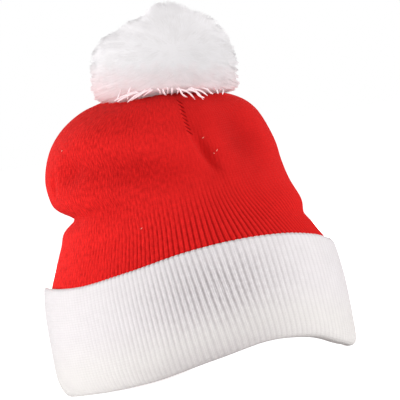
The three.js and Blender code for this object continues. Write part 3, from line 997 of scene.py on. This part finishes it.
# %% [markdown]
# ## The way the fluff faces
# Fluff has no clear surface, yet it is lighter on the side that faces a lamp, as a plain ball is. The
# normals of the smooth outline say how it faces. A data transfer modifier could copy them from a ball,
# but the formula gives them at once: two small steps on the outline, one along it and one across, span
# the surface. They are lent to every fibre.

# %% The way the fluff faces
FACING_STEP = 0.02
SLANTED = np.array([0.31, 0.22, 0.92])  # a helping direction, askew to the axes


def fluff_normals(directions):
    """The way that the pompom's outline faces, in given directions from its centre."""
    sideways = unit(np.cross(directions, unit(SLANTED)))
    along = np.cross(sideways, directions)

    def edge(way):
        step = FACING_STEP * way
        return pompom_point(directions + step, 1) - pompom_point(directions - step, 1)

    return unit(np.cross(edge(along), edge(sideways)) + TINY * directions)


print("the front of the pompom faces:", fluff_normals(np.array([[0.0, -1.0, 0.0]])).round(2))

# %% [markdown]
# ## Yarn finish
# The yarn is a soft white. Towards the crown it is painted pink, a painted reflection of the red knit under
# it, and as the crown falls to the right, so does the pink. A trait of the fibres darkens some of them
# slightly, with painted shade and a random tone, so that the fluff shows streaks. Light that wanders through
# the fluff comes out evenly on all sides. Subsurface scattering could follow it, but slowly and with grain,
# so a faint painted glow stands in for it.

# %% Yarn finish
# the pink next to the crown is a painted reflection of the red knit
PINK_UPWARD = (0.18, 0, 0.984)
PINK_FROM, PINK_TO = 0.203, 0.222     # metres along PINK_UPWARD
PINK_WAVER, WAVER_RATE = 0.012, 160.0
WHITE_YARN, REFLECTED_PINK_YARN = (0.955, 0.935, 0.955, 1), (0.96, 0.79, 0.81, 1)
SHADED_YARN = (0.84, 0.83, 0.82, 1)
WANDERING_LIGHT = 0.1
YARN_SHADING = {
    "Emission Strength": WANDERING_LIGHT,
    "Roughness": 0.9,
    "Specular IOR Level": 0.05,
}


def yarn_material(name, colour, reflected_colour):
    """Yarn of the first colour, which next to the crown's top turns to the second, a painted reflection of
    the knit.
    """
    material, tree, shader = new_material(name, YARN_SHADING)
    place = object_place(tree)
    rise = add_node(tree, "ShaderNodeVectorMath", {0: place, 1: PINK_UPWARD}, operation="DOT_PRODUCT")
    waver = add_scaled(tree, noise(tree, place, WAVER_RATE), PINK_WAVER, rise.outputs["Value"])
    whiter = add_node(tree, "ShaderNodeMapRange", {0: waver, 1: PINK_FROM, 2: PINK_TO}).outputs[0]
    tinted = mix_colour(tree, whiter, reflected_colour, colour)
    streaked = mix_colour(tree, trait(tree, "shaded"), tinted, SHADED_YARN, "MULTIPLY")
    tree.links.new(streaked, shader.inputs["Base Color"])
    tree.links.new(streaked, shader.inputs["Emission Color"])
    return material


white_yarn = yarn_material("white_yarn", WHITE_YARN, REFLECTED_PINK_YARN)
print("finish:", white_yarn.name)

# %% [markdown]
# ## Tufts
# Cut yarn stands in small tufts, thick on the dome and thinner below, where the crown presses it flat.
# Points scattered at random would leave bald spots. The golden angle spreads them as a sunflower does its
# seeds, and then each is jostled a little, so that no pattern shows.

# %% Tufts
TUFT_COUNT = 1500
TUFT_JOSTLE = 0.02
LOWEST_TUFT, LOWER_SHARE = -0.95, 0.6
GOLDEN_ANGLE = math.pi * (3 - math.sqrt(5))


def spread_directions(count, random):
    """Directions spread over the pompom by the golden angle, sparser below it, then jostled."""
    k = np.arange(count)
    down = (1 - LOWER_SHARE * LOWEST_TUFT) * (k + 0.5) / count
    z = np.where(down < 1, 1 - down, (1 - down) / LOWER_SHARE)
    turn = k * GOLDEN_ANGLE
    across = np.sqrt(1 - z * z)
    even = np.stack([across * np.cos(turn), across * np.sin(turn), z], -1)
    return unit(even + random.normal(scale=TUFT_JOSTLE, size=even.shape))


print("tufts:", TUFT_COUNT)

# %% [markdown]
# ## Tufted core
# A ball of fibres alone would let one look deep into the pompom, or would take a great many of them. So a
# closed skin fills it, and the skin rises to a little cone under every tuft. It gets a painted shade,
# darker than the tips, for the shade deep in real fluff.

# %% Tufted core
TUFT_RADIUS = 0.08
TUFT_RISE = 0.015
TUFT_RISE_SHARES = (0.4, 1.0)
CORE_SHARE = 0.94
CORE_ROWS = 150
CORE_COLUMNS = 340
CORE_POLE = 0.001
CORE_SHADE = 0.6
CORE_SEED = 90


def tufted_share(directions, tufts, rises):
    """How far the core reaches in each direction: a cone over the nearest tuft."""
    share = np.empty(directions.shape[:-1])
    for row, line in enumerate(directions):
        nearness = line @ tufts.T
        away = np.arccos(np.clip(nearness.max(-1), -1, 1)) / TUFT_RADIUS
        share[row] = CORE_SHARE + TUFT_RISE * np.maximum(0, 1 - away) * rises[nearness.argmax(-1)]
    return share


def core_faces():
    row, column = np.meshgrid(np.arange(CORE_ROWS - 1), np.arange(CORE_COLUMNS), indexing="ij")
    start, end = row * CORE_COLUMNS, (row + 1) * CORE_COLUMNS
    next_column = (column + 1) % CORE_COLUMNS
    quads = np.stack([start + column, end + column, end + next_column, start + next_column], -1)
    last = (CORE_ROWS - 1) * CORE_COLUMNS
    caps = [list(reversed(range(CORE_COLUMNS))), list(range(last, last + CORE_COLUMNS))]
    return quads.reshape(-1, 4).tolist() + caps


def make_core(random):
    tilt = np.linspace(CORE_POLE, math.pi - CORE_POLE, CORE_ROWS)[:, None]
    turn = np.linspace(0, 2 * math.pi, CORE_COLUMNS, endpoint=False)[None, :]
    directions = np.stack(np.broadcast_arrays(
        np.sin(tilt) * np.cos(turn), np.sin(tilt) * np.sin(turn), np.cos(tilt),
    ), -1)
    tufts = spread_directions(TUFT_COUNT, random)
    rises = random.uniform(*TUFT_RISE_SHARES, TUFT_COUNT)
    points = pompom_point(directions, tufted_share(directions, tufts, rises))
    mesh = mesh_in_mm("pompom_core", points, core_faces())
    piece = link_piece("pompom_core", mesh, white_yarn)
    mesh.normals_split_custom_set_from_vertices(fluff_normals(directions).reshape(-1, 3).tolist())
    # painted shade: the core is darker, for the shade deep in the fluff
    set_trait(mesh, "shaded", np.full(len(mesh.vertices), CORE_SHADE))
    return piece


core = make_core(np.random.default_rng(CORE_SEED))
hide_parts("pompom")
print("pompom core faces:", len(core.data.polygons))

# %% [markdown]
# ## Pompom yarn
# The fluff itself is strands in tufts, rooted in the core. Three layers reach to slightly different
# lengths, so the outline is ragged as scissors leave it, and each layer stays a light mesh of its own.
# Light goes through white fluff from fibre to fibre so often that it hardly has shadows. Following that
# many bounces is slow, so the fibres borrow the normals of the pompom's outline and cast no shadow. A
# face that is turned away from a lamp gets none of its light, whatever normals it borrows, so each fibre
# leans over, out from where the fluff is combed apart, and shows a flat side.

# %% Pompom yarn
YARN_LAYERS = [
    # name, lowest and highest share of the outline that tips reach
    ("pompom_yarn_inner", 0.96, 0.985),
    ("pompom_yarn_middle", 0.97, 1.0),
    ("pompom_yarn_outer", 0.975, 1.045),
]
FIRST_YARN_SEED = 100
FIBRES_IN_TUFT = 13
FIBRE_SIDES, FIBRE_STEPS = 3, 2
FIBRE_ROOT, FIBRE_SHORTEST = 0.9, 0.98
FIBRE_RADII = np.array([0.26, 0.14])
FIBRE_STOUTNESS = (0.75, 1.2)
TUFT_SPLAY, TIP_GATHER = 0.05, 0.4
TUFT_LEAN = 0.15
COMB_DISORDER = 0.5
STREAK_SHADE, TUFT_SHADE, ROOT_SHADE = 0.42, 0.45, 0.15


def combed(directions, random):
    """The way each tuft leans: out from where the fluff is combed apart, and partly at random."""
    at_random = unit(random.normal(size=directions.shape))
    away = unit(directions - unit(COMBED_FROM)) + COMB_DISORDER * at_random
    return unit(away - (away * directions).sum(-1, keepdims=True) * directions)


def yarn_layer(name, low, high, random):
    """Cut yarn whose longest tips reach from a low to a high share of the way to the outline."""
    tufts = spread_directions(TUFT_COUNT, random)
    tuft = np.repeat(tufts, FIBRES_IN_TUFT, axis=0)
    count = len(tuft)
    splay = random.normal(scale=TUFT_SPLAY, size=(count, 3))
    reach = np.repeat(random.uniform(low, high, TUFT_COUNT), FIBRES_IN_TUFT)
    reach = reach * random.uniform(FIBRE_SHORTEST, 1.0, count)
    lean = TUFT_LEAN * np.repeat(combed(tufts, random), FIBRES_IN_TUFT, axis=0)
    t = np.linspace(0, 1, FIBRE_STEPS)
    ways = [unit(tuft + splay * (1 - TIP_GATHER * along) + lean * along) for along in t]
    shares = FIBRE_ROOT + (1 - FIBRE_ROOT) * t
    paths = np.stack([pompom_point(way, reach * share) for way, share in zip(ways, shares)], 1)
    radii = FIBRE_RADII * random.uniform(*FIBRE_STOUTNESS, (count, 1))
    # painted shade along the streaks and at the roots deep in the fluff, and a random tone for each tuft
    shade = STREAK_SHADE * (1 - streaks(tufts)) + random.uniform(0, TUFT_SHADE, TUFT_COUNT)
    shaded = np.repeat(shade, FIBRES_IN_TUFT)[:, None] + ROOT_SHADE * (1 - t)
    normals = fluff_normals(ways[-1])
    piece = strand_mesh(name, paths, radii, FIBRE_SIDES, white_yarn, random, normals, shaded)
    piece.visible_shadow = False
    piece.visible_diffuse = False
    return piece


fluff = [
    yarn_layer(*layer, np.random.default_rng(FIRST_YARN_SEED + number))
    for number, layer in enumerate(YARN_LAYERS)
]

# %% [markdown]
# ## Lamps for the fluff
# White fluff needs less light from the sides and from behind than the knit does, or its edges are burnt
# out, and more from above, or its top goes grey; and the white cuff needs no light from behind on the
# left. A photographer would shade them with cards. Blender can link a lamp to chosen pieces, which does
# the same.

# %% Lamps for the fluff
FLUFF_LAMPS = [
    # name, place, size across, power in watts
    ("fluff_left_lamp", (-3.0, -1.0, 0.3), 1.6, 51),
    ("fluff_right_lamp", (3.0, -0.8, 0.2), 1.6, 46),
    ("fluff_top_lamp", (-0.2, 0.5, 3.2), 1.8, 40),
    ("fluff_back_lamp", (2.4, 2.6, 0.9), 1.6, 40),
]
KNIT_LAMPS = ["left_lamp", "right_lamp", "back_lamp"]


def link_lamp(lamp, pieces, state):
    """Lets a lamp light only the pieces (INCLUDE) or everything but the pieces (EXCLUDE)."""
    linked = bpy.data.collections.new(lamp.name + "_linked")
    for piece in pieces:
        linked.objects.link(piece)
    for member in linked.collection_objects:
        member.light_linking.link_state = state
    lamp.light_linking.receiver_collection = linked
    print(lamp.name, state, [piece.name for piece in pieces])


for lamp_row in FLUFF_LAMPS:
    link_lamp(make_lamp(*lamp_row), [core, *fluff], "INCLUDE")
for lamp_name in KNIT_LAMPS:
    link_lamp(lamps[lamp_name], [core, *fluff], "EXCLUDE")
link_lamp(lamps["back_left_lamp"], [crown, core, *fluff], "INCLUDE")

# %% [markdown]
# ## Places on the crown
# Loose yarn and thread lie on the red wall. Shrinkwrap could drop them on to it, but the wall is a
# formula, so a point of it can be found by its angle and height, or by its distance from the middle.

# %% Places on the crown
SEARCHED_POSITIONS = np.linspace(3, 12.5, 500)
FRONT_LEFT, FRONT_RIGHT = 165.0, 15.0
HALVINGS = 20


def crown_place(degrees, height, proud):
    """A point of the crown at an angle and a height, a little proud of the wall."""
    heights = crown_point(degrees, SEARCHED_POSITIONS)[:, 2]
    position = np.interp(height, heights, SEARCHED_POSITIONS)
    return crown_point(degrees, position) + proud * crown_normal(degrees, position)


def crown_front(x, height, proud):
    """The same, found from the distance to the right of the middle, on the front."""
    left, right = FRONT_LEFT, FRONT_RIGHT
    for _ in range(HALVINGS):
        middle = (left + right) / 2
        if crown_place(middle, height, proud)[0] < x:
            left = middle
        else:
            right = middle
    return crown_place(middle, height, proud)


print("front of the crown, 150 mm up:", crown_front(0, 150, 0).round(1), "mm")

# %% [markdown]
# ## Loose ends
# Some ends of the pompom's yarn hang out over the red. Chance would strew them evenly, but the real ones
# hang in a few loose groups, so they are listed one by one. Each is a strand that leaves the fluff, bends
# a little and comes to lie on the crown.

# %% Loose ends
LOOSE_ENDS = [
    # x and height where a strand leaves the pompom, x and height of its tip, sideways bow
    (-14, 202, -31, 197.5, 1.0),
    (-12, 201, -29, 196.5, 1.4),
    (-10, 201, -22, 195, 1.2),
    (-4, 202, -19.5, 195.5, 0.8),
    (-3, 201, -11, 197, 0.7),
    (-18, 206, -21.5, 200, -0.8),
    (4, 200.5, 5.5, 195, -0.6),
    (10, 200, 9, 194.5, 0.6),
    (13, 199, 24.5, 188.5, 1.4),
    (15.5, 198, 19.5, 191, -0.8),
    (21, 197.5, 33.5, 189.5, 1.2),
    (19.5, 197, 30, 187.5, 1.6),
    (26, 195, 31, 188.5, -0.7),
    (44, 193, 44, 188.5, 0.8),
    (-25, 205, -29, 200, 0.5),
    (-8, 202, -14, 198, 0.6),
    (0, 201.5, 1.5, 196.5, 0.5),
    (7, 201, 6.5, 196, 0.4),
    (15, 199.5, 13, 194.5, 0.5),
    (23, 198, 27, 192, 0.6),
    (30, 196.5, 36, 190.5, 0.8),
    (34, 196, 37.5, 190, -0.5),
    (39, 195, 41, 189.5, 0.5),
]
LOOSE_RADII = np.array([0.5, 0.6, 0.64, 0.64, 0.62, 0.55, 0.3])
LOOSE_ROOT_REACH = 50.5
LOOSE_TIP_Y, LOOSE_PROUD = -46, 0.8
LOOSE_BULGE = 1.5
THREAD_SIDES = 6
LOOSE_SEED = 7


def laid_strands(name, paths, radii, material, seed):
    """One mesh of round strands that all have the same radii along them."""
    paths = np.array(paths)
    radii = np.tile(radii, (len(paths), 1))
    return strand_mesh(name, paths, radii, THREAD_SIDES, material, np.random.default_rng(seed))


def loose_paths():
    paths = []
    t = np.linspace(0, 1, len(LOOSE_RADII))
    bend = np.sin(math.pi * t)
    for root_x, root_z, tip_x, tip_z, bow in LOOSE_ENDS:
        root_y = POMPOM_CENTRE[1] - math.sqrt(LOOSE_ROOT_REACH ** 2 - (root_x - POMPOM_CENTRE[0]) ** 2)
        root = np.array([root_x, root_y, root_z])
        tip = crown_front(tip_x, tip_z, LOOSE_PROUD)
        tip[1] = min(tip[1], LOOSE_TIP_Y)
        path = root + (tip - root) * t[:, None]
        path[:, 0] += bow * bend
        path[:, 1] -= LOOSE_BULGE * bend
        path[:, 2] += bow * bend
        paths.append(path)
    return paths


laid_strands("loose_ends", loose_paths(), LOOSE_RADII, white_yarn, LOOSE_SEED)

# %% [markdown]
# ## Sewn pleat and lint
# The pleat is closed with slanted stitches of thread a shade deeper than the knit, darkened further with
# painted shade for the shadowed gaps along the seam, and a few pale fibres cling to the red. A painted line
# would stay flat from the side. So both are laid along the crown in the same way as the loose ends, each in
# yarn of one colour, with the yarn finish's faint painted glow.

# %% Sewn pleat and lint
STITCH_COUNT = 8
STITCH_TOP, STITCH_STEP = 191, 3.1
STITCH_REACH = 3.6
STITCH_START, STITCH_PROUD = 0.5, 0.25
STITCH_RADII = np.array([0.2, 0.36, 0.4, 0.36, 0.2])
STITCH_SEED = 8
# the thread's dark red is its own deeper red and painted shade of the seam's gaps
SHADOWED_THREAD_RED = (0.34, 0.005, 0.005, 1)
LINT = [
    # x, height, length along x, length along the height
    (24.6, 162, 1.2, 0.6),
    (32.6, 151.3, 1.0, 1.3),
    (30.4, 150.6, 0.7, -0.5),
    (-28.7, 107.8, 1.3, 0.9),
    (-73.5, 170.1, 0.9, 0.7),
]
LINT_RADII = np.array([0.1, 0.21, 0.21, 0.1])
LINT_PROUD, LINT_ARCH = 0.4, 0.5
LINT_SEED = 9
PALE_LINT = (0.88, 0.56, 0.46, 1)


def seam_paths():
    paths = []
    for k in range(STITCH_COUNT):
        height = STITCH_TOP - k * STITCH_STEP
        edge_x = crown_place(pleat_at(height, PLEAT_ANGLES) - STITCH_START, height, 0)[0]
        paths.append([
            crown_front(edge_x + t * STITCH_REACH, height - t * STITCH_REACH, STITCH_PROUD)
            for t in np.linspace(0, 1, len(STITCH_RADII))
        ])
    return paths


def lint_paths():
    paths = []
    for x, height, run, rise in LINT:
        paths.append([
            crown_front(x + t * run, height + t * rise, LINT_PROUD + LINT_ARCH * math.sin(math.pi * t))
            for t in np.linspace(0, 1, len(LINT_RADII))
        ])
    return paths


red_thread = yarn_material("red_thread", SHADOWED_THREAD_RED, SHADOWED_THREAD_RED)
pale_lint = yarn_material("pale_lint", PALE_LINT, PALE_LINT)
laid_strands("seam_stitches", seam_paths(), STITCH_RADII, red_thread, STITCH_SEED)
laid_strands("lint", lint_paths(), LINT_RADII, pale_lint, LINT_SEED)
